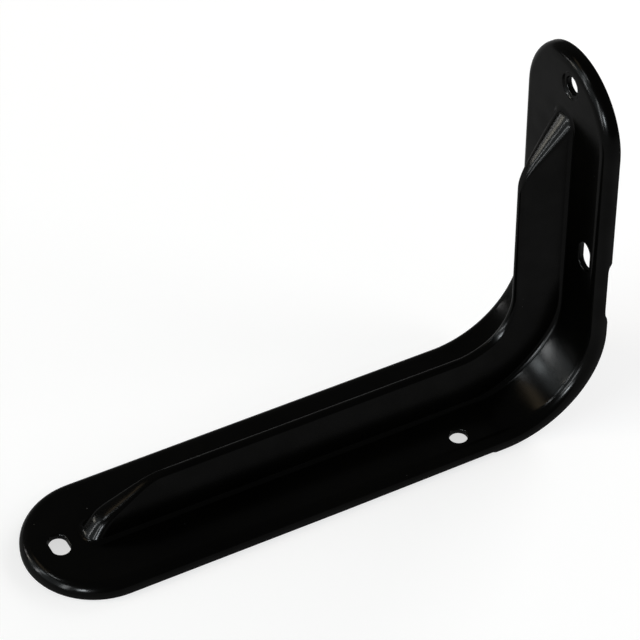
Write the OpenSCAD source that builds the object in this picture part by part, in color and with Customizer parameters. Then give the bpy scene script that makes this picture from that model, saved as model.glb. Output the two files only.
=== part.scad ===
// Shelf bracket pressed from one sheet: a round-ended tray folded to a right angle,
// with a hollow stiffening rib that runs up both legs and through the bend.

/* [Overall] */
// Length of the shelf leg, from the wall face to its rounded end
shelf_leg = 180; // [150:1:240]
// Height of the wall leg, from the shelf face to its rounded end
wall_leg = 123; // [110:0.5:160]
// Width across the flanges
strip_w = 45.6; // [43:0.1:52]
// Thickness of the sheet
sheet_t = 1.8; // [1.4:0.1:2.2]

/* [Tray] */
// Depth of the tray, from the flange rim to the face
tray_d = 4.8; // [4.6:0.1:7]
// Radius of the pressed edge between face and flange
edge_r = 3.7; // [2.4:0.1:3.9]
// Inside radius of the bend, at the face
bend_r = 28.8; // [25:0.2:34]

/* [Rib] */
// Height of the rib above the face
rib_h = 14.3; // [11:0.1:16]
// Half width of the rib where its walls meet the face
rib_half_w = 4.9; // [4.6:0.1:6.5]
// Radius along the top of the rib
crest_r = 1.6; // [1.4:0.1:2]
// Radius of the hollow between face and rib wall
foot_r = 1.4; // [1:0.1:2]
// Radius of the rib's top line through the bend
crest_bend_r = 18.4; // [16:0.2:22]

/* [Rib ends] */
// Distance from the rounded end of the shelf leg to the rib's nose
shelf_nose_in = 18.4; // [17:0.2:30]
// Height of the blunt part of that nose
shelf_nose_h = 5.4; // [3:0.2:7]
// Length of the blunt part of that nose
shelf_nose_run = 4.6; // [3:0.2:8]
// Length of the ramp behind it
shelf_ramp_run = 18.4; // [14:0.2:30]
// Half the length of the curve from that ramp to the level crest
shelf_crest_run = 7; // [4:0.5:10]
// How softly that nose turns into its ramp
shelf_nose_soft = 1.8; // [0.4:0.2:3]
// Distance from the rounded end of the wall leg to the rib's nose
wall_nose_in = 19.4; // [18:0.2:30]
// Height of the blunt part of that nose
wall_nose_h = 1.2; // [0.8:0.1:3]
// Length of the blunt part of that nose
wall_nose_run = 1.6; // [1:0.1:3]
// Length of the ramp behind it
wall_ramp_run = 18.7; // [14:0.1:24]
// Half the length of the curve from that ramp to the level crest
wall_crest_run = 6; // [3:0.5:10]
// How softly that nose turns into its ramp
wall_nose_soft = 0.6; // [0.4:0.2:2]

/* [Holes] */
// Diameter of the screw holes and width of the slots
hole_d = 5.6; // [4:0.1:6]
// Radius of the drawn-in edge at the front of each hole
hole_edge_r = 0.5; // [0.3:0.1:0.7]
// Distance from the rounded end of the shelf leg to its end slot
end_slot_in = 10.9; // [9:0.1:13]
// Travel of that slot, across the leg
end_slot_travel = 2.4; // [1:0.2:4]
// Distance from the rounded end of the wall leg to its screw hole
wall_hole_in = 9.2; // [9.1:0.1:12]
// Offset of that hole towards the near edge
wall_hole_off = 1.7; // [0:0.1:1.8]
// Width of the shallow dimple round the wall leg's screw hole
dimple_d = 9.2; // [8.8:0.1:9.4]
// Depth of that dimple, which stands out as far at the back
dimple_h = 0.5; // [0.3:0.1:0.8]
// Width of the slope round that dimple
dimple_run = 1.1; // [0.8:0.1:1.2]
// Distance from the wall face to the side screw hole of the shelf leg
side_hole_out = 45.4; // [44:0.2:60]
// Distance from the shelf face to the side slot of the wall leg
side_slot_out = 59.6; // [50:0.2:70]
// Travel of that slot, along the leg
side_slot_travel = 4; // [2:0.1:6]
// Distance of the side screw hole from the centre line
side_hole_off = 15.4; // [13:0.1:15.6]
// Distance of the side slot from the centre line
side_slot_off = 14.8; // [13:0.1:15.6]

/* [Trimmed rim] */
// Depth of the shallow step trimmed in the wall leg's near rim
wall_step_d = 1; // [0.5:0.1:1.2]
// Height at which that step starts
wall_step_from = 39.5; // [39:0.5:46]
// Length of that step
wall_step_run = 20.5; // [12:0.5:30]
// Depth of the sliver trimmed from the shelf leg's near rim, beside the bend
shelf_step_d = 0.5; // [0.2:0.1:0.8]
// Length over which that sliver runs out
shelf_step_run = 50; // [30:1:70]

/* [Hidden] */
$fn = 96;
over = 1;                                   // how far a cutter runs past a face
half_w = strip_w / 2;
rim_r = bend_r + tray_d;                    // radius of the rim through the bend
arc_len = bend_r * PI / 2;                  // length of the face through the bend
crest_c = tray_d + rib_h + crest_bend_r;    // centre of the crest's own bend, from both faces
c_gap = crest_c - rim_r;                    // how far that centre lies inside the face's centre
shelf_run = shelf_leg - half_w - rim_r;     // straight part of the shelf leg
wall_run = wall_leg - half_w - rim_r;       // straight part of the wall leg

// Angle of the rib wall from upright, tangent to the crest
lean = acos(crest_r / norm([rib_half_w, rib_h - crest_r])) - atan((rib_h - crest_r) / rib_half_w);
// Distance of the foot radius's centre from the centre line
foot_c = rib_half_w + foot_r * (1 / cos(lean) - tan(lean));
// Half width of the hollow under the crest, and how far the hollow stays below it
hollow_r = max(0.35, crest_r - sheet_t * 0.75);
crest_t = sheet_t * 1.15;

// ---- the folded path ----

// Point at distance s along the path (0 where the bend starts), y across, h above the rims
function on_path(s, y, h) =
    s < 0 ? [s - rim_r, y, h] :
    s > arc_len ? [-h, y, rim_r + s - arc_len] :
    let (a = 90 * s / arc_len, q = rim_r - h) [q * sin(a) - rim_r, y, rim_r - q * cos(a)];

// Height of the crest above the rims: level on the legs, on its own radius through the bend
function crest_h(s) =
    let (m = s < 0 ? -s : s > arc_len ? s - arc_len : -1)
    m >= c_gap ? tray_d + rib_h :
    m >= 0 ? crest_c - sqrt(pow(crest_bend_r, 2) - pow(c_gap - m, 2)) :
    let (a = 90 * s / arc_len, k = c_gap * (sin(a) + cos(a)))
    rim_r + k - sqrt(k * k - 2 * c_gap * c_gap + crest_bend_r * crest_bend_r);

// How much taller the rib is at s than on the legs
function swell(s) = (crest_h(s) - tray_d) / rib_h;

// ---- the rib's ends: a blunt nose, a ramp, and a curve up to the level crest ----

// Distance that the end reaches past the level crest's end, z high on a ramp of slope g
function ramp_back(z, g, b) =
    let (down = rib_h - z) down < g * b ? sqrt(down * 4 * b / g) - b : down / g;

// Distance of the end from the bend at height z: the nearer of ramp and blunt nose, blended
function end_at(z, tip, blunt_h, blunt_run, run, b, soft) =
    let (ramp = tip - blunt_run - run + ramp_back(z, (rib_h - blunt_h) / run, b),
        front = tip - blunt_run * z / blunt_h,
        mix = max(soft - abs(ramp - front), 0) / soft)
    min(ramp, front) - mix * mix * soft / 4;

function shelf_end(z) = end_at(z, shelf_leg - shelf_nose_in - rim_r,
    shelf_nose_h, shelf_nose_run, shelf_ramp_run, shelf_crest_run, shelf_nose_soft);
function wall_end(z) = end_at(z, wall_leg - wall_nose_in - rim_r,
    wall_nose_h, wall_nose_run, wall_ramp_run, wall_crest_run, wall_nose_soft);

// ---- rings round the rib: [height, half width, reach on the shelf leg, on the wall leg] ----

// Outside: foot radius, wall, crest
foot_a = [20, 46, 90 - lean];
foot_z = foot_r * (1 - sin(lean));
top_z = rib_h - crest_r * (1 - sin(lean));
function wall_w(z) = rib_half_w - z * tan(lean);
wall_z = [for (k = [1:9]) foot_z + (top_z - foot_z) * pow(k / 9, 0.9)];
outer_rings = concat(
    [let (w = foot_c - foot_r * sin(20) + 0.4 / tan(20) - rib_half_w)
        [-0.31, rib_half_w + w, shelf_end(0) + w, wall_end(0) + w]],
    [for (a = foot_a) let (z = foot_r * (1 - cos(a)), w = foot_c - foot_r * sin(a))
        [z, w, shelf_end(z) + w - wall_w(z), wall_end(z) + w - wall_w(z)]],
    [for (z = wall_z) [z, wall_w(z), shelf_end(z), wall_end(z)]],
    [for (a = [lean + 18 : 18 : 88]) let (z = rib_h - crest_r * (1 - sin(a)))
        [z, crest_r * cos(a), shelf_end(z), wall_end(z)]]);

// Hollow: the same walls a sheet's thickness in, opening on the back of the face
back_r = foot_r + sheet_t;
in_foot_z = foot_r - back_r * sin(lean);
in_top = rib_h - crest_t;
in_z = [for (k = [1:9]) in_foot_z + (in_top - hollow_r - in_foot_z) * k / 9];
function in_w(z) = max(hollow_r, wall_w(z) - sheet_t / cos(lean));
function in_end(z, blunt) = blunt ?
    min(shelf_end(max(z, 0)) - sheet_t * 1.15, shelf_end(min(rib_h, z + sheet_t * 1.1))) :
    min(wall_end(max(z, 0)) - sheet_t * 1.15, wall_end(min(rib_h, z + sheet_t * 1.25)));
inner_rings = concat(
    [let (w = foot_c - back_r * sin(20), z = foot_r - back_r * cos(20) - 0.5)
        [z, w + 0.5 / tan(20), in_end(0, true) + w + 0.5 / tan(20) - in_w(0),
            in_end(0, false) + w + 0.5 / tan(20) - in_w(0)]],
    [for (a = foot_a) let (z = foot_r - back_r * cos(a), w = foot_c - back_r * sin(a))
        [z, w, in_end(z, true) + w - in_w(z), in_end(z, false) + w - in_w(z)]],
    [for (z = in_z) [z, in_w(z), in_end(z, true), in_end(z, false)]],
    [for (a = [30, 60]) let (z = in_top - hollow_r * (1 - sin(a)))
        [z, in_w(in_top) * cos(a), in_end(z, true), in_end(z, false)]]);

// ---- one ring: near side, wall end, far side, shelf end ----

cap_n = 7;                                  // points round half of each rib end
bend_n = 14;                                // steps through the bend
mid_s = concat([-c_gap, -c_gap / 2],
    [for (k = [0:bend_n]) arc_len * k / bend_n],
    [arc_len + c_gap / 2, arc_len + c_gap]);
cap_p = 0.8;                                // below 1, squarer than a half circle

// Rounded end of a ring, from a = 0 beside the rib to a = 90 at the tip: [reach, across]
function cap(a, w) = [w * (pow(sin(a), cap_p) - 1), w * pow(cos(a), cap_p)];

function ring_side(r, side) =
    let (w = r[1],
        shelf = [for (k = [cap_n:-1:0]) let (c = cap(90 * k / cap_n, w))
            [-(r[2] + c[0]), side * c[1], r[0]]],
        middle = [for (s = mid_s) [s, side * w, r[0] * swell(s)]],
        wall = [for (k = [0:cap_n]) let (c = cap(90 * k / cap_n, w))
            [arc_len + r[3] + c[0], side * c[1], r[0]]])
    concat(shelf, middle, wall);

// The two tips belong to the near side, so each appears once
function ring(r) =
    let (near = ring_side(r, -1), far = ring_side(r, 1), n = len(far))
    [for (p = concat(near, [for (k = [n - 2:-1:1]) far[k]])) on_path(p[0], p[1], tray_d + p[2])];

// Closed skin over stacked rings, with strips across the first and the last
module lofted(rings) {
    pts = [for (r = rings) each ring(r)];
    n = len(ring(rings[0]));
    m = len(rings);
    half = n / 2;
    skin = [for (j = [0:m - 2], i = [0:n - 1]) let (a = j * n + i, b = j * n + (i + 1) % n)
        each [[a, a + n, b + n], [a, b + n, b]]];
    function strip(o, flip) = [for (i = [0:half - 1])
        let (a = o + i, b = o + i + 1, c = o + (n - i - 1), d = o + (n - i) % n)
        each [if (i < half - 1) flip ? [a, b, c] : [a, c, b],
              if (i > 0) flip ? [a, c, d] : [a, d, c]]];
    polyhedron(pts, concat(skin, strip(0, true), strip((m - 1) * n, false)), 4);
}

// ---- the tray ----

// Section across the strip, from y = low up to the face at y = d: x across
module filled_section(w, d, r, low) intersection() {
    union() {
        translate([-w / 2, low]) square([w, d - r - low]);
        translate([r - w / 2, low]) square([w - 2 * r, d - low]);
        for (s = [-1, 1]) translate([s * (w / 2 - r), d - r]) circle(r);
    }
    translate([-w / 2, low]) square([w, d - low]);
}

module tray_section() difference() {
    filled_section(strip_w, tray_d, edge_r, 0);
    filled_section(strip_w - 2 * sheet_t, tray_d - sheet_t, edge_r - sheet_t, -over);
}

module half_section() intersection() {
    tray_section();
    square([strip_w, tray_d + over]);
}

// Legs, bend and round ends, all from the one section
module tray() {
    translate([-rim_r - shelf_run, 0, 0])
        rotate([90, 0, 90]) linear_extrude(shelf_run) tray_section();
    translate([0, 0, rim_r])
        rotate([0, 0, 90]) linear_extrude(wall_run) tray_section();
    translate([-rim_r, 0, rim_r]) rotate([90, 90, 0])
        rotate_extrude(angle = 90) translate([rim_r, 0]) rotate(90) tray_section();
    translate([-rim_r - shelf_run, 0, 0]) rotate([0, 0, 90])
        rotate_extrude(angle = 180) half_section();
    translate([0, 0, rim_r + wall_run]) rotate([90, 0, -90])
        rotate_extrude(angle = 180) half_section();
}

// ---- holes, drawn with z = 0 on the face and the sheet below it ----

// Round hole with a drawn-in front edge
module round_cut(d, e) {
    translate([0, 0, -sheet_t - over]) cylinder(d = d, h = sheet_t + 2 * over);
    rotate_extrude() difference() {
        translate([0, -e]) square([d / 2 + e, e + over]);
        translate([d / 2 + e, -e]) circle(e);
    }
}

// Slot of the same hole, travelling along x
module slot_cut(d, e, travel) {
    for (s = [-1, 1]) translate([s * travel / 2, 0, 0]) round_cut(d, e);
    translate([-travel / 2, 0, 0]) rotate([90, 0, 90]) linear_extrude(travel) {
        translate([-d / 2, -sheet_t - over]) square([d, sheet_t + 2 * over]);
        difference() {
            translate([-d / 2 - e, -e]) square([d + 2 * e, e + over]);
            for (s = [-1, 1]) translate([s * (d / 2 + e), -e]) circle(e);
        }
    }
}

module on_shelf_leg(x, y) translate([-x, y, tray_d]) children();
module on_wall_leg(z, y) translate([-tray_d, y, z]) rotate([0, -90, 0]) children();

module hole_cuts() {
    on_shelf_leg(shelf_leg - end_slot_in, 0)
        rotate(90) slot_cut(hole_d, hole_edge_r, end_slot_travel);
    on_shelf_leg(side_hole_out, -side_hole_off) round_cut(hole_d, hole_edge_r);
    on_wall_leg(side_slot_out, -side_slot_off) slot_cut(hole_d, hole_edge_r, side_slot_travel);
    on_wall_leg(wall_leg - wall_hole_in, -wall_hole_off) {
        translate([0, 0, -dimple_h]) {
            round_cut(hole_d, hole_edge_r);
            dimple_slope();
        }
        cylinder(d = dimple_d, h = over);
    }
}

// Slope of the dimple, narrow end down
module dimple_slope()
    cylinder(d1 = dimple_d - 2 * dimple_run, d2 = dimple_d, h = dimple_h);

// Sheet pushed out behind the dimple
module dimple_back()
    on_wall_leg(wall_leg - wall_hole_in, -wall_hole_off)
        translate([0, 0, -sheet_t - dimple_h]) {
            dimple_slope();
            translate([0, 0, dimple_h]) cylinder(d = dimple_d, h = sheet_t / 2);
        }

// ---- trimmed stretches of the near rim ----
module rim_trims() {
    translate([0, -half_w + sheet_t + edge_r, 0]) rotate([90, 0, 0])
        linear_extrude(sheet_t + edge_r + over) {
            polygon([[over, wall_step_from - 1], [-wall_step_d, wall_step_from + 1.5],
                [-wall_step_d, wall_step_from + wall_step_run - 1],
                [over, wall_step_from + wall_step_run + 1]]);
            polygon([[-crest_c, -over], [-crest_c, shelf_step_d],
                [-crest_c - shelf_step_run, 0], [-crest_c - shelf_step_run, -over]]);
        }
}

module bracket() color([0.03, 0.03, 0.035]) translate([shelf_leg / 2, 0, 0]) difference() {
    union() {
        tray();
        lofted(outer_rings);
        dimple_back();
    }
    lofted(inner_rings);
    hole_cuts();
    rim_trims();
}

bracket();
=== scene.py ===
"""Looks of a pressed shelf bracket in gloss black paint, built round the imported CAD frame."""

import logging
import math
from dataclasses import dataclass, field
from enum import Enum

import bmesh
import bpy
from mathutils import Matrix, Vector


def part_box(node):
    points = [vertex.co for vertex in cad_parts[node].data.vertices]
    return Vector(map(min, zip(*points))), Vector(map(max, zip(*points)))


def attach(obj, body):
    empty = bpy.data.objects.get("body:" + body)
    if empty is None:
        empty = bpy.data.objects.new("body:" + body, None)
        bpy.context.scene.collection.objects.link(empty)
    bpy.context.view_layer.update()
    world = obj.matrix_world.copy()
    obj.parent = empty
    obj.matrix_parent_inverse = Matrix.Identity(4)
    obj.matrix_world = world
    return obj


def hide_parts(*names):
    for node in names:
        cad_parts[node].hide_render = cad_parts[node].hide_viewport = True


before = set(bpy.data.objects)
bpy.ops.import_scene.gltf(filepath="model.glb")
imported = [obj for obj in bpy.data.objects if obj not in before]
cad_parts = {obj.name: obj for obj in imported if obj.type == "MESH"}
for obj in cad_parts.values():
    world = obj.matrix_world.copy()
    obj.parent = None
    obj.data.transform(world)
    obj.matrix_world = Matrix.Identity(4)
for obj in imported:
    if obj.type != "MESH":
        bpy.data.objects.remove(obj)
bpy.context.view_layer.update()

MM = 0.001  # metres in a millimetre
MERGE_MM = 1e-4  # points of the flat strip that are closer than this are one
MERGE_M = 2e-7  # the same on the folded sheet, in metres
CUT_MM = 1e-5  # a cut this close to a point goes through it
LEVEL_MM = 1e-3  # how far from the level of the sheet's side its flat faces may lie
TOUCH_MM = 0.01  # slack where two stretches meet
EDGE_STEPS = 8  # steps through a hole's front edge and down its dimple
log = logging.getLogger("bracket")


def quarter(steps: int) -> list[float]:
    """Angles from 0 to a right angle, in radians, in this many steps."""
    return [k / steps * math.pi / 2 for k in range(steps + 1)]


class Face(Enum):
    """Which leg of the bracket a hole is in."""

    SHELF = "shelf"
    WALL = "wall"


class Zone(Enum):
    """The stretches that one side of a ring runs through, from shelf end to wall end."""

    SHELF_CAP = 0
    SHELF_RUN = 1
    BEND = 2
    WALL_RUN = 3
    WALL_CAP = 4


# ---------------------------------------------------------------------------
# sizes
# ---------------------------------------------------------------------------


@dataclass
class Tray:
    """The folded, round-ended tray, in millimetres.

    Attributes:
        shelf_leg: length of the shelf leg, from the wall face.
        wall_leg: height of the wall leg, from the shelf face.
        width: width across the flanges.
        depth: depth from the flange rim to the face.
        sheet: thickness of the sheet.
        edge_r: radius of the pressed edge between face and flange.
        bend_r: inside radius of the bend, at the face.
        trim_r: small radius of the trimmed rim.
        rim_hold: height over that radius of the line that keeps it tight.
        face_margin: flat of the face kept before its pressed edge.
        back_margin: the same at the back.
    """

    shelf_leg: float
    wall_leg: float
    width: float
    depth: float = 4.8
    sheet: float = 1.8
    edge_r: float = 3.7
    bend_r: float = 28.8
    trim_r: float = 0.2
    rim_hold: float = 0.08
    face_margin: float = 0.25
    back_margin: float = 0.2

    @classmethod
    def from_frame(cls, node: str) -> "Tray":
        """Takes the outer sizes from the CAD node.

        Args:
            node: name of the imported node.

        Returns:
            A tray of the node's own length, height and width.
        """
        low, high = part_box(node)
        size = (Vector(high) - Vector(low)) / MM
        return cls(shelf_leg=size.x, wall_leg=size.z, width=size.y)

    @property
    def half_w(self) -> float:
        """Half the width across the flanges."""
        return self.width / 2

    @property
    def rim_r(self) -> float:
        """Radius of the rim through the bend."""
        return self.bend_r + self.depth

    @property
    def arc(self) -> float:
        """Length of the face through the bend."""
        return self.bend_r * math.pi / 2

    @property
    def shelf_run(self) -> float:
        """Straight part of the shelf leg."""
        return self.shelf_leg - self.half_w - self.rim_r

    @property
    def wall_run(self) -> float:
        """Straight part of the wall leg."""
        return self.wall_leg - self.half_w - self.rim_r

    def fold(self, flat: Vector) -> Vector:
        """Folds a point of the flat strip to its place on the bracket.

        Args:
            flat: along the strip (0 where the bend starts), across it, and up from the rims.

        Returns:
            The point in metres in the part's own frame.
        """
        s, y, h = flat
        if s < 0:
            x, z = s - self.rim_r, h
        elif s > self.arc:
            x, z = -h, self.rim_r + s - self.arc
        else:
            a, q = s / self.bend_r, self.rim_r - h
            x, z = q * math.sin(a) - self.rim_r, self.rim_r - q * math.cos(a)
        return Vector((x + self.shelf_leg / 2, y, z)) * MM


@dataclass(frozen=True)
class RibEnd:
    """One end of the rib, where it runs out into the face, in millimetres.

    Attributes:
        tip: distance of the nose from the other leg's face.
        blunt_h: height of the steep, blunt nose.
        blunt_run: length of the blunt nose.
        ramp_run: length of the ramp behind it.
        crest_blend: length of the curve from ramp to crest.
        nose_blend: softness of the edge between nose and ramp.
    """

    tip: float
    blunt_h: float
    blunt_run: float
    ramp_run: float
    crest_blend: float
    nose_blend: float

    def reach(self, z: float, rib_h: float) -> float:
        """Distance from the other leg's face at which the end stands z high.

        Args:
            z: height above the face.
            rib_h: full height of the rib.

        Returns:
            The distance, in millimetres.
        """
        slope = (rib_h - self.blunt_h) / self.ramp_run
        down = rib_h - z
        if down < slope * self.crest_blend:
            back = math.sqrt(max(down, 0.0) * 4 * self.crest_blend / slope) - self.crest_blend
        else:
            back = down / slope
        ramp = self.tip - self.blunt_run - self.ramp_run + back
        front = self.tip - self.blunt_run * z / self.blunt_h
        mix = max(self.nose_blend - abs(ramp - front), 0.0) / self.nose_blend
        return min(ramp, front) - mix * mix * self.nose_blend / 4


@dataclass
class Rib:
    """The hollow stiffening rib, in millimetres.

    Attributes:
        tray: the tray that the rib stands on.
        height: height of the crest above the face.
        half_w: half width where the walls meet the face.
        crest_r: radius along the top.
        foot_r: radius between face and wall.
        margin: flat of the face kept round the foot.
        crest_bend_r: radius of the crest's own line through the bend.
        dish: how far the face climbs the walls in the middle of the bend.
        dish_spread: how far the dish runs on past the bend's ends.
        flattened: share of the crest's roundness that the bend takes away.
        hollow_least: least half width of the hollow.
        hollow_share: sheet thicknesses taken off the crest's radius inside.
        crown: sheet thicknesses over the hollow's crest and at its ends.
        ramp_cover: sheet thicknesses over the hollow, on the shelf and the wall ramp.
        cap_power: below 1 the noses are squarer than a half circle.
        shelf_end: the end on the shelf leg.
        wall_end: the end on the wall leg.
    """

    tray: Tray
    height: float = 14.3
    half_w: float = 4.9
    crest_r: float = 1.6
    foot_r: float = 1.4
    margin: float = 0.2
    crest_bend_r: float = 18.4
    dish: float = 2.2
    dish_spread: float = 4.0
    flattened: float = 0.8
    hollow_least: float = 0.35
    hollow_share: float = 0.75
    crown: float = 1.15
    ramp_cover: tuple[float, float] = (1.1, 1.25)
    cap_power: float = 0.8
    shelf_end: RibEnd = RibEnd(
        tip=161.6, blunt_h=5.4, blunt_run=4.6, ramp_run=18.4, crest_blend=7.0, nose_blend=1.8
    )
    wall_end: RibEnd = RibEnd(
        tip=103.6, blunt_h=1.2, blunt_run=1.6, ramp_run=18.7, crest_blend=6.0, nose_blend=0.6
    )

    @property
    def lean(self) -> float:
        """Angle of the wall from upright, in radians."""
        rise = self.height - self.crest_r
        return math.acos(self.crest_r / math.hypot(self.half_w, rise)) - math.atan(rise / self.half_w)

    @property
    def foot_c(self) -> float:
        """Distance of the foot radius's centre from the centre line."""
        return self.half_w + self.foot_r * (1 / math.cos(self.lean) - math.tan(self.lean))

    @property
    def hollow_r(self) -> float:
        """Half width of the hollow under the crest."""
        return max(self.hollow_least, self.crest_r - self.tray.sheet * self.hollow_share)

    @property
    def in_top(self) -> float:
        """Height of the hollow's own crest."""
        return self.height - self.tray.sheet * self.crown

    @property
    def bend_gap(self) -> float:
        """How far the crest's bend starts before the face's."""
        return self.tray.depth + self.height + self.crest_bend_r - self.tray.rim_r

    def wall_w(self, z: float) -> float:
        """Half width of the rib between its walls at height z."""
        return self.half_w - z * math.tan(self.lean)

    def in_w(self, z: float) -> float:
        """Half width of the hollow at height z."""
        return max(self.hollow_r, self.wall_w(z) - self.tray.sheet / math.cos(self.lean))

    def reaches(self, z: float) -> tuple[float, float]:
        """How far the outside runs along each leg, from the bend, at height z."""
        shelf, wall = (end.reach(z, self.height) for end in (self.shelf_end, self.wall_end))
        return (shelf - self.tray.rim_r, wall - self.tray.rim_r)

    def in_reaches(self, z: float) -> tuple[float, float]:
        """How far the hollow runs along each leg at height z.

        Args:
            z: height above the face.

        Returns:
            The reach along the shelf leg and along the wall leg, from the bend.
        """
        t, low = self.tray.sheet, self.reaches(max(z, 0.0))
        shelf_cover, wall_cover = self.ramp_cover
        over_shelf = self.reaches(min(self.height, z + t * shelf_cover))
        over_wall = self.reaches(min(self.height, z + t * wall_cover))
        end = t * self.crown
        return (min(low[0] - end, over_shelf[0]), min(low[1] - end, over_wall[1]))

    def swell(self, s: float) -> float:
        """How much taller the rib is at s than on the legs.

        Args:
            s: distance along the strip from the start of the bend.

        Returns:
            1 on the legs, more through the bend, where the crest has its own radius.
        """
        tray, gap, r = self.tray, self.bend_gap, self.crest_bend_r
        out = -s if s < 0 else s - tray.arc if s > tray.arc else -1.0
        if out >= gap:
            return 1.0
        if out >= 0:
            level = tray.rim_r + gap - math.sqrt(r * r - (gap - out) ** 2)
        else:
            a = s / tray.bend_r
            k = gap * (math.sin(a) + math.cos(a))
            level = tray.rim_r + k - math.sqrt(k * k - 2 * gap * gap + r * r)
        return (level - tray.depth) / self.height

    def drawn(self, flat: Vector) -> Vector:
        """Moves a point as the metal beside the rib is drawn up in the bend.

        Args:
            flat: along the strip, across it, and up from the rims.

        Returns:
            The point with the soft dish of the bend in it.
        """
        tray, spread = self.tray, self.dish_spread
        s, y, h = flat
        along = min(max((s + spread) / (tray.arc + 2 * spread), 0.0), 1.0)
        out = (abs(y) - self.half_w) / (tray.half_w - tray.edge_r - self.half_w)
        out = min(max(out, 0.0), 1.0)
        swell, mid = self.swell(s), math.sin(math.pi * along) ** 2
        z = (h - tray.depth) / swell
        up = min(max(z / self.height, 0.0), 1.0)
        rise = self.dish * mid * (1 - out) ** 2 * (1 - up)
        rounded = self.crest_r * (1 - math.sin(self.lean))
        flat_z = self.height - rounded * abs(y) / (self.crest_r * math.cos(self.lean))
        if z > self.height - rounded and z > flat_z:
            rise -= self.flattened * mid * mid * (z - flat_z)
        return Vector((s, y, h + rise))


@dataclass
class Hole:
    """A screw hole or slot drawn in at the front of the sheet, in millimetres.

    Attributes:
        name: what it is called in the log.
        face: the leg that it is in.
        at: distance along that leg, from the other leg's face.
        y: place across the strip.
        radius: radius of the hole.
        edge_r: radius of its front edge.
        travel_s: how far the slot runs along the leg.
        travel_y: how far the slot runs across it.
        dimple: radius, depth and slope width of a dimple round it, or nothing.
        flat: margin of flat sheet round the hole's edge.
        dimple_flat: margin of flat sheet round the dimple.
        back_edge: how far out and up each line of the back edge lies.
    """

    name: str
    face: Face
    at: float
    y: float
    radius: float = 2.8
    edge_r: float = 0.5
    travel_s: float = 0.0
    travel_y: float = 0.0
    dimple: tuple[float, float, float] | None = None
    flat: float = 0.1
    dimple_flat: float = 0.12
    back_edge: tuple[tuple[float, float], ...] = (
        (0.0, 0.12), (0.02, 0.05), (0.1, 0.0), (0.25, 0.0)
    )

    def centre(self, tray: Tray) -> tuple[float, float]:
        """Where the hole is on the flat strip.

        Args:
            tray: sizes of the tray.

        Returns:
            The place along the strip and across it.
        """
        if self.face is Face.SHELF:
            return (tray.rim_r - self.at, self.y)
        return (tray.arc + self.at - tray.rim_r, self.y)

    def profile(self, sheet: float) -> list[tuple[float, float]]:
        """Radius and depth of each ring of the hole, from the face to the back.

        Args:
            sheet: thickness of the sheet.

        Returns:
            Pairs of radius and depth, ending on the back of the sheet.
        """
        e, rings, back, floor = self.edge_r, [], [], 0.0
        if self.dimple:
            outer, floor, slope = self.dimple
            ways = [(outer - slope * k / EDGE_STEPS,
                     floor * (1 - math.cos(k / EDGE_STEPS * math.pi)) / 2)
                    for k in range(EDGE_STEPS + 1)]
            rings = [(outer + self.dimple_flat, 0.0)] + ways
            back = [(r, sheet + d) for r, d in ways[::-1]] + [(outer + self.dimple_flat, sheet)]
        rings.append((self.radius + e + self.flat, floor))
        for a in quarter(EDGE_STEPS):
            rings.append((self.radius + e * (1 - math.sin(a)), floor + e * (1 - math.cos(a))))
        under = [(self.radius + out, sheet + floor - up) for out, up in self.back_edge]
        return rings + under + back


@dataclass
class Ring:
    """One closed line round the strip, in millimetres.

    Attributes:
        z: height above the face.
        w: half width.
        shelf: reach along the shelf leg, from the bend.
        wall: reach along the wall leg, from the bend.
        power: shape of its ends, 1 for half circles.
        swells: whether it rises with the rib through the bend.
        rim: share of the rim's trimmed step that it follows.
    """

    z: float
    w: float
    shelf: float
    wall: float
    power: float = 1.0
    swells: bool = False
    rim: float = 0.0


@dataclass(frozen=True)
class RimTrim:
    """The two stretches trimmed from the near rim, in millimetres.

    Attributes:
        depth: depth of the wall leg's step.
        start: height of the step's lower end above the shelf face.
        run: length of the step.
        lead: how far its slopes start outside it.
        rise: length of its lower slope.
        fall: length of its upper slope.
        sliver: depth of the sliver on the shelf leg, where the bend starts.
        sliver_run: length of that sliver.
    """

    depth: float = 1.0
    start: float = 39.5
    run: float = 20.5
    lead: float = 1.0
    rise: float = 2.5
    fall: float = 2.0
    sliver: float = 0.5
    sliver_run: float = 50.0

    def at(self, height: float, back: float) -> float:
        """Depth of the trim at one place along the rim.

        Args:
            height: height above the shelf face, on the wall leg.
            back: distance back along the shelf leg from the bend.

        Returns:
            The depth, 0 where the rim is whole.
        """
        rise = (height - self.start + self.lead) / self.rise
        fall = (self.start + self.run + self.lead - height) / self.fall
        step = self.depth * max(0.0, min(1.0, rise, fall))
        taper = max(0.0, 1 - back / self.sliver_run) if back >= -TOUCH_MM else 0.0
        return step + self.sliver * taper


@dataclass(frozen=True)
class Steps:
    """How many steps the mesh takes through each stretch.

    Attributes:
        cap: a quarter of each end.
        shelf_run: the shelf leg's straight side.
        lead: the crest's lead into the bend, and out of it.
        bend: the bend.
        wall_run: the wall leg's straight side.
        crest: the rib's rounded top.
        wall: the rib's wall.
        wall_crowd: how much the wall's steps crowd towards the top, 1 for even.
        foot: the foot radius.
        edge: the pressed edge at the front.
        back_edge: the pressed edge at the back.
        trim: each of the rim's small radii.
        hollow: the hollow's wall.
        hollow_top: the hollow's rounded top.
        hole: the whole way round a hole.
    """

    cap: int = 20
    shelf_run: int = 26
    lead: int = 4
    bend: int = 44
    wall_run: int = 40
    crest: int = 8
    wall: int = 48
    wall_crowd: float = 1.15
    foot: int = 8
    edge: int = 12
    back_edge: int = 8
    trim: int = 3
    hollow: int = 21
    hollow_top: int = 4
    hole: int = 56


# ---------------------------------------------------------------------------
# the pressed sheet
# ---------------------------------------------------------------------------


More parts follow.
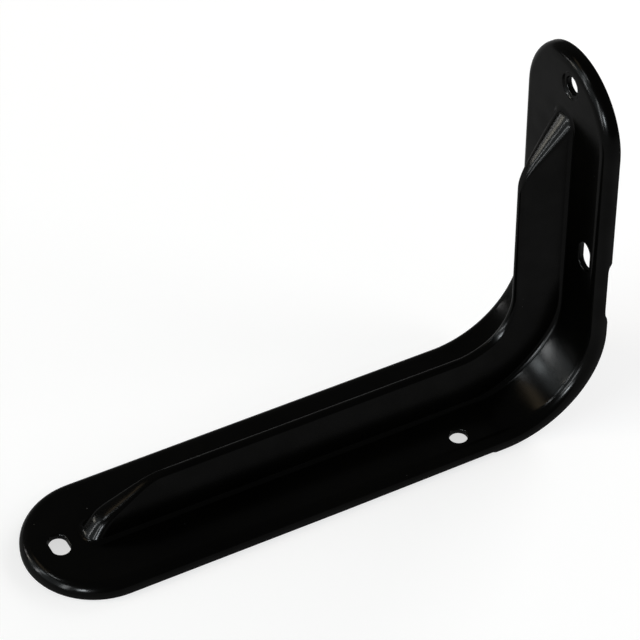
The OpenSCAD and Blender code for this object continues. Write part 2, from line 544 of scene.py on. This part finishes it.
@dataclass
class PressedSheet:
    """The bracket's one sheet, pressed flat ring by ring, pierced, then folded.

    Attributes:
        tray: sizes of the tray.
        rib: sizes of the rib.
        holes: the screw holes and slots.
        rim_trim: the stretches trimmed from the near rim.
        steps: how fine the mesh is.
        patch_margin: how much of the sheet is opened round a hole.
        middle_margin: the same across the strip, for a hole in the middle.
        middle: how far from the centre line a hole is still in the middle.
        stations: the places along one side, from the shelf tip to the wall tip.
    """

    tray: Tray
    rib: Rib
    holes: list[Hole]
    rim_trim: RimTrim = RimTrim()
    steps: Steps = Steps()
    patch_margin: float = 1.2
    middle_margin: float = 1.0
    middle: float = 5.0
    stations: list[tuple[Zone, float]] = field(default_factory=list)

    def __post_init__(self) -> None:
        """Lays out the stations of one side, from the shelf tip to the wall tip."""
        gap, arc, n = self.rib.bend_gap, self.tray.arc, self.steps
        cap = [k / n.cap for k in range(n.cap)]
        lead = [-gap * (1 - k / n.lead) for k in range(n.lead)]
        mid = [arc * k / n.bend for k in range(n.bend + 1)]
        self.stations = (
            [(Zone.SHELF_CAP, 90 * (1 - c)) for c in cap]
            + [(Zone.SHELF_RUN, k / n.shelf_run) for k in range(n.shelf_run)]
            + [(Zone.BEND, s) for s in lead + mid + [arc - b for b in lead[::-1]]]
            + [(Zone.WALL_RUN, k / n.wall_run) for k in range(1, n.wall_run + 1)]
            + [(Zone.WALL_CAP, 90 * c) for c in cap[1:] + [1.0]]
        )

    def flat_point(self, ring: Ring, station: int, side: int) -> Vector:
        """Where one point of a ring lies on the flat strip.

        Args:
            ring: the ring.
            station: number of the station along the side.
            side: -1 on the near side, 1 on the far side.

        Returns:
            Along the strip, across it, and up from the rims.
        """
        zone, t = self.stations[station]
        gap, arc = self.rib.bend_gap, self.tray.arc
        y = ring.w
        if zone in (Zone.SHELF_CAP, Zone.WALL_CAP):
            a = math.radians(t)
            y = ring.w * max(math.cos(a), 0.0) ** ring.power
            out = ring.w * (math.sin(a) ** ring.power - 1)
            s = -(ring.shelf + out) if zone is Zone.SHELF_CAP else arc + ring.wall + out
        elif zone is Zone.SHELF_RUN:
            start = ring.w - ring.shelf
            s = start + (-gap - start) * t
        elif zone is Zone.WALL_RUN:
            end = arc + ring.wall - ring.w
            s = arc + gap + (end - arc - gap) * t
        else:
            s = t
        z = ring.z * (self.rib.swell(s) if ring.swells else 1.0)
        trim = ring.rim * self.trim(s) if side < 0 else 0.0
        return Vector((s, side * y, self.tray.depth + z + trim))

    def trim(self, s: float) -> float:
        """Depth of the near rim's trimmed stretches at s."""
        height = s - self.tray.arc + self.tray.rim_r
        return self.rim_trim.at(height, -s - self.rib.bend_gap)

    def tray_ring(self, z: float, w: float, rim: float = 0.0) -> Ring:
        """A ring of the tray, z above the face and w wide, with half-circle ends."""
        return Ring(z, w, self.tray.shelf_run + w, self.tray.wall_run + w, rim=rim)

    def rib_ring(self, z: float, w: float, flare: float, inside: bool) -> Ring:
        """A ring of the rib.

        Args:
            z: height above the face.
            w: half width.
            flare: how far the foot spreads here beyond the wall.
            inside: whether it is on the hollow side.

        Returns:
            The ring.
        """
        rib = self.rib
        shelf, wall = rib.in_reaches(z) if inside else rib.reaches(max(z, 0.0))
        return Ring(z, w, shelf + flare, wall + flare, rib.cap_power, swells=True)

    def front_rings(self) -> list[Ring]:
        """Rings of the rib's outside.

        Returns:
            The rings, from the crest down to the face.
        """
        rib, n, rings = self.rib, self.steps, []
        lean = rib.lean
        for k in range(n.crest + 1):
            a = math.pi / 2 - (math.pi / 2 - lean) * k / n.crest
            z = rib.height - rib.crest_r * (1 - math.sin(a))
            rings.append(self.rib_ring(z, rib.crest_r * max(math.cos(a), 0.0), 0.0, False))
        top = rib.height - rib.crest_r * (1 - math.sin(lean))
        foot = rib.foot_r * (1 - math.sin(lean))
        for k in range(1, n.wall):
            z = top + (foot - top) * (k / n.wall) ** n.wall_crowd
            rings.append(self.rib_ring(z, rib.wall_w(z), 0.0, False))
        for k in range(n.foot + 1):
            a = (math.pi / 2 - lean) * (1 - k / n.foot)
            z, w = rib.foot_r * (1 - math.cos(a)), rib.foot_c - rib.foot_r * math.sin(a)
            rings.append(self.rib_ring(z, w, w - rib.wall_w(z), False))
        w = rib.foot_c + rib.margin
        return rings + [self.rib_ring(0.0, w, w - rib.wall_w(0), False)]

    def edge_rings(self) -> list[Ring]:
        """Rings of the pressed edge, the flange and its rim.

        Returns:
            The rings, from the face to the back.
        """
        tray, n = self.tray, self.steps
        r, t, q, b = tray.edge_r, tray.sheet, tray.half_w - tray.edge_r, tray.trim_r
        rings = [self.tray_ring(0.0, q - tray.face_margin)]
        for a in quarter(n.edge):
            rings.append(self.tray_ring(-r * (1 - math.cos(a)), q + r * math.sin(a)))
        low, back = -tray.depth, tray.half_w - t
        hold = low + b + tray.rim_hold
        rings.append(self.tray_ring(hold, tray.half_w, 1.0))
        for a in quarter(n.trim):
            z = low + b * (1 - math.sin(a))
            rings.append(self.tray_ring(z, tray.half_w - b * (1 - math.cos(a)), 1.0))
        for a in quarter(n.trim)[::-1]:
            z = low + b * (1 - math.sin(a))
            rings.append(self.tray_ring(z, back + b * (1 - math.cos(a)), 1.0))
        rings.append(self.tray_ring(hold, back, 1.0))
        for a in quarter(n.back_edge)[::-1]:
            rings.append(self.tray_ring(-r + (r - t) * math.cos(a), q + (r - t) * math.sin(a)))
        return rings + [self.tray_ring(-t, q - tray.back_margin)]

    def back_rings(self) -> list[Ring]:
        """Rings of the hollow.

        Returns:
            The rings, from the back of the face up to the hollow's crest.
        """
        rib, n, t = self.rib, self.steps, self.tray.sheet
        lean, r = rib.lean, rib.foot_r + t
        edge = rib.foot_c + rib.margin
        rings = [self.rib_ring(-t, edge, edge - rib.in_w(0), True)]
        for k in range(n.foot + 1):
            a = (math.pi / 2 - lean) * k / n.foot
            z, w = rib.foot_r - r * math.cos(a), rib.foot_c - r * math.sin(a)
            rings.append(self.rib_ring(z, w, w - rib.in_w(z), True))
        low, top = rib.foot_r - r * math.sin(lean), rib.in_top - rib.hollow_r
        for k in range(1, n.hollow + 1):
            z = low + (top - low) * k / n.hollow
            rings.append(self.rib_ring(z, rib.in_w(z), 0.0, True))
        for a in quarter(n.hollow_top)[1:]:
            z = top + rib.hollow_r * math.sin(a)
            rings.append(self.rib_ring(z, rib.in_w(top) * max(math.cos(a), 0.0), 0.0, True))
        return rings

    def build(self) -> bpy.types.Object:
        """Presses, pierces and folds the sheet.

        Returns:
            The finished mesh object, at the origin.
        """
        bm = bmesh.new()
        station = bm.verts.layers.int.new("station")
        side = bm.verts.layers.int.new("side")
        last = len(self.stations) - 1
        ring = bmesh.ops.create_circle(bm, segments=2 * last, radius=1.0)["verts"]
        for i, vert in enumerate(ring):
            vert[station] = i if i <= last else 2 * last - i
            vert[side] = -1 if i <= last else 1
        edges = list(bm.edges)
        stack = self.front_rings() + self.edge_rings() + self.back_rings()
        for k, level in enumerate(stack):
            if k:
                ring, edges = self.next_ring(bm, edges)
            for vert in ring:
                vert.co = self.flat_point(level, vert[station], vert[side])
        bmesh.ops.remove_doubles(bm, verts=bm.verts[:], dist=MERGE_MM)
        for hole in self.holes:
            self.pierce(bm, hole)
        for vert in bm.verts:
            vert.co = self.tray.fold(self.rib.drawn(vert.co))
        bmesh.ops.remove_doubles(bm, verts=bm.verts[:], dist=MERGE_M)
        bmesh.ops.recalc_face_normals(bm, faces=bm.faces[:])
        return self.to_object(bm)

    @staticmethod
    def next_ring(
        bm: bmesh.types.BMesh, edges: list[bmesh.types.BMEdge]
    ) -> tuple[list[bmesh.types.BMVert], list[bmesh.types.BMEdge]]:
        """Extrudes a closed line of edges into the next one.

        Args:
            bm: the flat sheet.
            edges: the line to extrude.

        Returns:
            The new line's points and edges.
        """
        made = bmesh.ops.extrude_edge_only(bm, edges=edges)["geom"]
        ring = [g for g in made if isinstance(g, bmesh.types.BMVert)]
        new = set(ring)
        return ring, [g for g in made if isinstance(g, bmesh.types.BMEdge)
                      and g.verts[0] in new and g.verts[1] in new]

    def pierce(self, bm: bmesh.types.BMesh, hole: Hole) -> None:
        """Opens one hole through the flat face, with its drawn-in front edge.

        Args:
            bm: the flat sheet.
            hole: the hole to make.
        """
        tray = self.tray
        cs, cy = hole.centre(tray)
        front, back = tray.depth, tray.depth - tray.sheet
        rings = hole.profile(tray.sheet)
        widest = rings[0][0]
        lip = tray.half_w - tray.edge_r - tray.face_margin - abs(cy) - 2 * TOUCH_MM
        reach = widest + self.middle_margin
        if abs(cy) > self.middle:
            reach = min(widest + self.patch_margin, lip)
        along = widest + hole.travel_s / 2 + self.patch_margin
        half = Vector((along, reach + hole.travel_y / 2))
        first = self.open_patch(bm, front, cs, cy, half)
        last = self.open_patch(bm, back, cs, cy, half)
        loop = bmesh.ops.create_circle(bm, segments=self.steps.hole, radius=1.0)["verts"]
        turn = Matrix.Rotation(math.pi / self.steps.hole, 4, "Z")
        order = {v: (turn @ v.co).normalized() for v in loop}
        edges = [e for e in bm.edges if e.verts[0] in order and e.verts[1] in order]
        bounds = list(edges)
        for k, (radius, depth) in enumerate(rings):
            if k:
                fresh, edges = self.next_ring(bm, edges)
                old = {e.other_vert(v): v for v in fresh for e in v.link_edges
                       if e.other_vert(v) in order and e.other_vert(v) not in fresh}
                order = {new: order[was] for was, new in old.items()}
            for vert, aim in order.items():
                vert.co = (
                    cs + aim.x * radius + math.copysign(hole.travel_s / 2, aim.x),
                    cy + aim.y * radius + math.copysign(hole.travel_y / 2, aim.y),
                    front - depth,
                )
        for border in (first + bounds, last + edges):
            bmesh.ops.triangle_fill(bm, edges=border, normal=(0, 0, 1), use_beauty=True)
        log.info("pierced %s", hole.name)

    def open_patch(
        self, bm: bmesh.types.BMesh, level: float, cs: float, cy: float, half: Vector
    ) -> list[bmesh.types.BMEdge]:
        """Takes a rectangle out of a flat face.

        Args:
            bm: the flat sheet.
            level: height of the face above the rims.
            cs: place along the strip.
            cy: place across the strip.
            half: half of the rectangle's length and width.

        Returns:
            The edges round the opening.
        """
        for axis, middle, size in ((0, cs, half.x), (1, cy, half.y)):
            for way in (-1, 1):
                near = [f for f in bm.faces if self.in_reach(f, level, cs, cy, half)]
                edges = dict.fromkeys(e for f in near for e in f.edges)
                verts = dict.fromkeys(v for f in near for v in f.verts)
                geom = [*near, *edges, *verts]
                point, normal = Vector((cs, cy, level)), Vector((0, 0, 0))
                point[axis] = middle + way * size
                normal[axis] = way
                bmesh.ops.bisect_plane(bm, geom=geom, dist=CUT_MM, plane_co=point, plane_no=normal)
        out = []
        for face in bm.faces:
            c = face.calc_center_median()
            if (abs(c.z - level) < LEVEL_MM and abs(c.x - cs) < half.x
                    and abs(c.y - cy) < half.y):
                out.append(face)
        sides, gone = dict.fromkeys(e for f in out for e in f.edges), set(out)
        rim = [e for e in sides if any(f not in gone for f in e.link_faces)]
        bmesh.ops.delete(bm, geom=out, context="FACES_ONLY")
        inner = [e for e in bm.edges if not e.link_faces and e not in rim]
        bmesh.ops.delete(bm, geom=inner, context="EDGES")
        return [e for e in rim if e.is_valid]

    @staticmethod
    def in_reach(
        face: bmesh.types.BMFace, level: float, cs: float, cy: float, half: Vector
    ) -> bool:
        """Whether a flat face at this height meets a rectangle.

        Args:
            face: the face.
            level: height above the rims.
            cs: middle of the rectangle along the strip.
            cy: middle of the rectangle across it.
            half: half of the rectangle's length and width.

        Returns:
            True if they overlap.
        """
        if any(abs(v.co.z - level) > LEVEL_MM for v in face.verts):
            return False
        xs, ys = [v.co.x for v in face.verts], [v.co.y for v in face.verts]
        return (min(xs) < cs + half.x and max(xs) > cs - half.x
                and min(ys) < cy + half.y and max(ys) > cy - half.y)

    def to_object(self, bm: bmesh.types.BMesh) -> bpy.types.Object:
        """Turns the folded sheet into a smooth-shaded object.

        Args:
            bm: the folded sheet, in metres.

        Returns:
            The object.
        """
        mesh = bpy.data.meshes.new("pressed_sheet")
        bm.to_mesh(mesh)
        bm.free()
        mesh.shade_smooth()
        obj = bpy.data.objects.new("pressed_sheet", mesh)
        bpy.context.scene.collection.objects.link(obj)
        return obj


# ---------------------------------------------------------------------------
# finishes
# ---------------------------------------------------------------------------


class Shading:
    """A new material and the few kinds of node that its finish is made of.

    Attributes:
        material: the material.
        nodes: its nodes.
        links: the links between them.
        shader: its Principled shader.
    """

    def __init__(self, name: str) -> None:
        """Makes the material, with its Principled shader.

        Args:
            name: name of the material.
        """
        self.material = bpy.data.materials.new(name)
        self.material.use_nodes = True
        self.nodes = self.material.node_tree.nodes
        self.links = self.material.node_tree.links
        self.shader = self.nodes["Principled BSDF"]

    def set(self, socket: str, value: float | tuple[float, ...]) -> None:
        """Sets one of the shader's sockets to a plain value."""
        self.shader.inputs[socket].default_value = value

    def feed(self, socket: str, source: bpy.types.NodeSocket) -> None:
        """Links a varying value to one of the shader's sockets."""
        self.links.new(source, self.shader.inputs[socket])

    def noise(self, size_mm: float, detail: float) -> bpy.types.NodeSocket:
        """Adds a noise in the part's own coordinates.

        Args:
            size_mm: size of its patches in millimetres.
            detail: how many finer layers it has.

        Returns:
            Its value, from 0 to 1.
        """
        where = self.nodes.new("ShaderNodeTexCoord")
        node = self.nodes.new("ShaderNodeTexNoise")
        node.inputs["Scale"].default_value = 1 / (size_mm * MM)
        node.inputs["Detail"].default_value = detail
        self.links.new(where.outputs["Object"], node.inputs["Vector"])
        return node.outputs["Fac"]

    def ramp(
        self, source: bpy.types.NodeSocket, span: tuple[float, float],
        low: tuple[float, ...], high: tuple[float, ...],
    ) -> bpy.types.NodeSocket:
        """Turns a value into a colour between two.

        Args:
            source: the value.
            span: the values at which the two colours are reached.
            low: the first colour, linear.
            high: the second colour, linear.

        Returns:
            The colour.
        """
        node = self.nodes.new("ShaderNodeValToRGB")
        for stop, place, colour in zip(node.color_ramp.elements, span, (low, high)):
            stop.position, stop.color = place, (*colour, 1)
        self.links.new(source, node.inputs["Fac"])
        return node.outputs["Color"]

    def remap(
        self, source: bpy.types.NodeSocket, span: tuple[float, float], to: tuple[float, float]
    ) -> bpy.types.NodeSocket:
        """Maps a value from one span to another.

        Args:
            source: the value.
            span: the span that it is read over.
            to: the values at that span's two ends.

        Returns:
            The mapped value.
        """
        node = self.nodes.new("ShaderNodeMapRange")
        for name, value in zip(("From Min", "From Max", "To Min", "To Max"), (*span, *to)):
            node.inputs[name].default_value = value
        self.links.new(source, node.inputs["Value"])
        return node.outputs["Result"]

    def maths(
        self, operation: str, first: bpy.types.NodeSocket, second: bpy.types.NodeSocket | float
    ) -> bpy.types.NodeSocket:
        """Works out one value from two.

        Args:
            operation: the Math node's operation.
            first: the first value.
            second: the second value, or a plain number.

        Returns:
            The result.
        """
        node = self.nodes.new("ShaderNodeMath")
        node.operation = operation
        self.links.new(first, node.inputs[0])
        if isinstance(second, float):
            node.inputs[1].default_value = second
        else:
            self.links.new(second, node.inputs[1])
        return node.outputs[0]


@dataclass(frozen=True)
class GlossPaint:
    """Stoved gloss black paint on pressed steel.

    Attributes:
        name: name of the material.
        colour: colour of the paint, linear.
        clouds: size in mm and detail of the clouds in its colour.
        cloud_span: noise values between which they go from dark to light.
        cloud_tones: the paint's colour is times these there.
        roughness: smoothest and dullest roughness.
        rough_patches: size in mm and detail of the rougher patches.
        rough_span: noise values between which the roughness rises.
        gloss_roughness: roughness of the gloss layer.
        gloss_loss: share of the gloss that is gone where it is dullest.
        gloss_patches: size in mm and detail of the patches in the gloss.
        gloss_span: noise values between which the gloss falls.
        ior: how strongly the gloss layer mirrors.
        slant: share of the gloss left where the surface is seen at a slant.
        slant_span: how far the surface is turned away where that starts and ends.
        orange_peel: size in mm and detail of the orange peel.
        peel_height_mm: height of the orange peel.
        dust: colour of the dust specks, linear.
        dust_specks: size in mm and detail of the noise that the specks are the peaks of.
        dust_span: noise values between which a speck starts.
    """

    name: str = "gloss black paint"
    colour: tuple[float, float, float] = (0.0010, 0.0010, 0.0008)
    clouds: tuple[float, float] = (34.0, 3.0)
    cloud_span: tuple[float, float] = (0.35, 0.7)
    cloud_tones: tuple[float, float] = (0.7, 1.5)
    roughness: tuple[float, float] = (0.10, 0.18)
    rough_patches: tuple[float, float] = (12.0, 4.0)
    rough_span: tuple[float, float] = (0.3, 0.75)
    gloss_roughness: float = 0.19
    gloss_loss: float = 0.18
    gloss_patches: tuple[float, float] = (9.0, 3.0)
    gloss_span: tuple[float, float] = (0.35, 0.65)
    ior: float = 1.13
    slant: float = 0.35
    slant_span: tuple[float, float] = (0.35, 0.62)
    orange_peel: tuple[float, float] = (2.6, 1.0)
    peel_height_mm: float = 0.002
    dust: tuple[float, float, float] = (0.10, 0.10, 0.095)
    dust_specks: tuple[float, float] = (1.1, 2.0)
    dust_span: tuple[float, float] = (0.80, 0.83)

    def build(self) -> bpy.types.Material:
        """Makes the material.

        Returns:
            The finished material.
        """
        paint = Shading(self.name)
        paint.set("Specular IOR Level", 0.0)
        paint.set("Coat IOR", self.ior)
        paint.set("Coat Roughness", self.gloss_roughness)
        self.feed_colour(paint)
        self.feed_peel(paint)
        self.feed_gloss(paint)
        rough = paint.noise(*self.rough_patches)
        paint.feed("Roughness", paint.remap(rough, self.rough_span, self.roughness))
        return paint.material

    def feed_colour(self, paint: Shading) -> None:
        """Gives the paint its colour: soft clouds, with specks of dust.

        Args:
            paint: the material.
        """
        dark, light = (tuple(c * tone for c in self.colour) for tone in self.cloud_tones)
        clouds = paint.ramp(paint.noise(*self.clouds), self.cloud_span, dark, light)
        black, white = (0.0, 0.0, 0.0), (1.0, 1.0, 1.0)
        specks = paint.ramp(paint.noise(*self.dust_specks), self.dust_span, black, white)
        mix = paint.nodes.new("ShaderNodeMix")
        mix.data_type = "RGBA"
        mix.inputs["B"].default_value = (*self.dust, 1)
        paint.links.new(specks, mix.inputs["Factor"])
        paint.links.new(clouds, mix.inputs["A"])
        paint.feed("Base Color", mix.outputs["Result"])

    def feed_peel(self, paint: Shading) -> None:
        """Gives the paint and its gloss layer their orange peel.

        Args:
            paint: the material.
        """
        bump = paint.nodes.new("ShaderNodeBump")
        bump.inputs["Distance"].default_value = self.peel_height_mm * MM
        bump.inputs["Strength"].default_value = 1.0
        paint.links.new(paint.noise(*self.orange_peel), bump.inputs["Height"])
        paint.feed("Normal", bump.outputs["Normal"])
        paint.feed("Coat Normal", bump.outputs["Normal"])

    def feed_gloss(self, paint: Shading) -> None:
        """Gives the gloss layer its weight: less at a slant, and less in dull patches.

        Args:
            paint: the material.
        """
        facing = paint.nodes.new("ShaderNodeLayerWeight")
        facing.inputs["Blend"].default_value = 0.5
        full = paint.remap(facing.outputs["Facing"], self.slant_span, (1.0, self.slant))
        patches = paint.noise(*self.gloss_patches)
        dull = paint.remap(patches, self.gloss_span, (1.0, 1.0 - self.gloss_loss))
        paint.feed("Coat Weight", paint.maths("MULTIPLY", full, dull))


@dataclass(frozen=True)
class StudioFloor:
    """The plain white sweep that the bracket lies on.

    Attributes:
        name: name of the material.
        colour: colour of the floor, linear.
        roughness: roughness of the floor.
        lift: light added where the camera or a reflection sees it.
    """

    name: str = "white floor"
    colour: float = 0.45
    roughness: float = 0.9
    lift: float = 0.64

    def build(self) -> bpy.types.Material:
        """Makes the material.

        Returns:
            The finished material.
        """
        floor = Shading(self.name)
        floor.set("Base Color", (self.colour, self.colour, self.colour, 1))
        floor.set("Roughness", self.roughness)
        floor.set("Specular IOR Level", 0.0)
        floor.set("Emission Color", (1, 1, 1, 1))
        seen = floor.nodes.new("ShaderNodeLightPath").outputs
        seen_or_mirrored = floor.maths("MAXIMUM", seen["Is Camera Ray"], seen["Is Glossy Ray"])
        lit = floor.maths("MAXIMUM", seen_or_mirrored, seen["Is Transmission Ray"])
        floor.feed("Emission Strength", floor.maths("MULTIPLY", lit, self.lift))
        return floor.material


# ---------------------------------------------------------------------------
# studio
# ---------------------------------------------------------------------------


@dataclass(frozen=True)
class Softbox:
    """A rectangular lamp aimed at the bracket.

    Attributes:
        name: name of the lamp.
        azimuth: degrees round the object from +X towards +Y.
        elevation: degrees above the floor.
        distance: distance in metres.
        size: width and height in metres.
        radiance: how bright its face is, where 1 is white.
        tint: its colour.
        glints_only: whether it only shows in gloss, as a thin reflector strip does.
    """

    name: str
    azimuth: float
    elevation: float
    distance: float
    size: tuple[float, float]
    radiance: float
    tint: tuple[float, float, float] = (1.0, 1.0, 1.0)
    glints_only: bool = False

    def build(self, aim: Vector) -> bpy.types.Object:
        """Places the lamp.

        Args:
            aim: the point that it faces.

        Returns:
            The lamp.
        """
        a, e = math.radians(self.azimuth), math.radians(self.elevation)
        away = Vector((math.cos(a) * math.cos(e), math.sin(a) * math.cos(e), math.sin(e)))
        data = bpy.data.lights.new(self.name, "AREA")
        data.shape = "RECTANGLE"
        data.size, data.size_y = self.size
        data.energy = self.radiance * math.pi * self.size[0] * self.size[1]
        data.color = self.tint
        lamp = bpy.data.objects.new(self.name, data)
        lamp.location = aim + away * self.distance
        lamp.rotation_euler = (-away).to_track_quat("-Z", "Y").to_euler()
        lamp.visible_diffuse = not self.glints_only
        bpy.context.scene.collection.objects.link(lamp)
        return lamp


@dataclass(frozen=True)
class Camera:
    """The long-lens camera above the shelf leg.

    Attributes:
        azimuth: degrees from +Y towards +X of the way it looks.
        elevation: degrees that it looks down.
        roll: degrees that it leans.
        distance: distance from the aim point in metres.
        lens: focal length in millimetres.
        sensor: width of the sensor in millimetres.
        clip: nearest and farthest distance seen, in metres.
        aim: the point in the middle of the frame, in metres.
    """

    azimuth: float = 27.361
    elevation: float = 43.368
    roll: float = -0.316
    distance: float = 0.91731
    lens: float = 176.449
    sensor: float = 36.0
    clip: tuple[float, float] = (0.01, 20.0)
    aim: tuple[float, float, float] = (0.011956, 0.011229, 0.044564)

    def build(self) -> bpy.types.Object:
        """Places the camera and makes it the scene's.

        Returns:
            The camera.
        """
        a, e, r = (math.radians(v) for v in (self.azimuth, self.elevation, self.roll))
        look = Vector((math.sin(a) * math.cos(e), math.cos(a) * math.cos(e), -math.sin(e)))
        right = look.cross(Vector((0, 0, 1))).normalized()
        up = right.cross(look)
        right, up = right * math.cos(r) + up * math.sin(r), up * math.cos(r) - right * math.sin(r)
        data = bpy.data.cameras.new("camera")
        data.sensor_width, data.lens = self.sensor, self.lens
        data.clip_start, data.clip_end = self.clip
        camera = bpy.data.objects.new("camera", data)
        turn = Matrix((right, up, -look)).transposed().to_4x4()
        camera.matrix_world = Matrix.Translation(Vector(self.aim) - look * self.distance) @ turn
        bpy.context.scene.collection.objects.link(camera)
        bpy.context.scene.camera = camera
        return camera


@dataclass
class Studio:
    """Floor, lamps, world and camera.

    Attributes:
        lamps: the softboxes.
        aim: the point that they face, in metres.
        world: brightness of the room.
        floor_size: side of the floor in metres.
        floor_drop: how far the floor lies under the rims, in metres.
    """

    lamps: list[Softbox]
    aim: tuple[float, float, float] = (0.0, 0.0, 0.04)
    world: float = 0.25
    floor_size: float = 6.0
    floor_drop: float = 0.0001

    def build(self) -> None:
        """Builds the studio round the bracket."""
        bm = bmesh.new()
        bmesh.ops.create_grid(bm, x_segments=1, y_segments=1, size=self.floor_size / 2)
        bmesh.ops.translate(bm, verts=bm.verts[:], vec=(0, 0, -self.floor_drop))
        mesh = bpy.data.meshes.new("floor")
        bm.to_mesh(mesh)
        bm.free()
        mesh.materials.append(StudioFloor().build())
        floor = bpy.data.objects.new("floor", mesh)
        bpy.context.scene.collection.objects.link(floor)
        for lamp in self.lamps:
            lamp.build(Vector(self.aim))
        world = bpy.data.worlds.new("room")
        world.use_nodes = True
        room = world.node_tree.nodes["Background"].inputs
        room["Color"].default_value = (1, 1, 1, 1)
        room["Strength"].default_value = self.world
        bpy.context.scene.world = world
        bpy.context.scene.view_settings.view_transform = "Standard"
        Camera().build()
        log.info("studio with %d lamps", len(self.lamps))


def make_holes(tray: Tray) -> list[Hole]:
    """The bracket's four openings.

    Args:
        tray: sizes of the tray.

    Returns:
        Two round holes and two slots.
    """
    return [
        Hole("shelf end slot", Face.SHELF, at=tray.shelf_leg - 10.9, y=0.0, travel_y=2.4),
        Hole("shelf screw hole", Face.SHELF, at=45.4, y=-15.4),
        Hole("wall side slot", Face.WALL, at=59.6, y=-14.8, travel_s=4.0),
        Hole("wall screw hole", Face.WALL, at=tray.wall_leg - 9.2, y=-1.7, dimple=(4.6, 0.5, 1.1)),
    ]


def make_lamps() -> list[Softbox]:
    """The studio's softboxes and reflector strips.

    Returns:
        Four softboxes that light the bracket, and seven that only its gloss shows.
    """
    # name, azimuth, elevation, distance, size, radiance, tint, whether it is glints only
    return [
        Softbox("window", 170.0, 20.0, 1.3, (1.40, 0.86), 3.0, (0.88, 0.97, 1.0)),
        Softbox("left strip", 160.0, 14.5, 0.9, (0.05, 0.24), 85.0, (0.97, 0.99, 1.0), True),
        Softbox("left pane", 160.0, 31.0, 1.2, (0.10, 0.16), 60.0, (0.9, 0.97, 1.0), True),
        Softbox("right strip", 200.0, 16.0, 1.2, (0.13, 0.66), 58.0, (0.94, 0.98, 1.0), True),
        Softbox("top strip", 164.0, 49.0, 1.2, (0.24, 0.08), 70.0, (0.94, 0.98, 1.0), True),
        Softbox("low left", 132.0, 12.7, 1.2, (0.09, 0.10), 36.0, (1.0, 1.0, 1.0), True),
        Softbox("cream", 140.3, 15.3, 1.2, (0.11, 0.12), 58.0, (1.0, 0.96, 0.84), True),
        Softbox("warm", 133.0, 48.0, 1.2, (0.40, 0.12), 7.0, (1.0, 0.78, 0.50)),
        Softbox("front glint", -138.0, 18.0, 1.2, (0.18, 0.26), 140.0, (0.9, 0.96, 1.0), True),
        Softbox("back", 15.0, 24.0, 1.5, (1.2, 0.5), 7.0),
        Softbox("right", -32.0, 22.0, 1.4, (0.6, 0.5), 5.0),
    ]


def main() -> None:
    """Builds the bracket and its studio in order."""
    logging.basicConfig(level=logging.INFO, format="%(name)s: %(message)s")
    tray = Tray.from_frame("bracket")
    sheet = PressedSheet(tray, Rib(tray), make_holes(tray))
    bracket = sheet.build()
    bracket.data.materials.append(GlossPaint().build())
    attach(bracket, "root")
    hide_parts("bracket")
    log.info("pressed sheet: %d faces", len(bracket.data.polygons))
    Studio(make_lamps()).build()


if __name__ == "__main__":
    main()
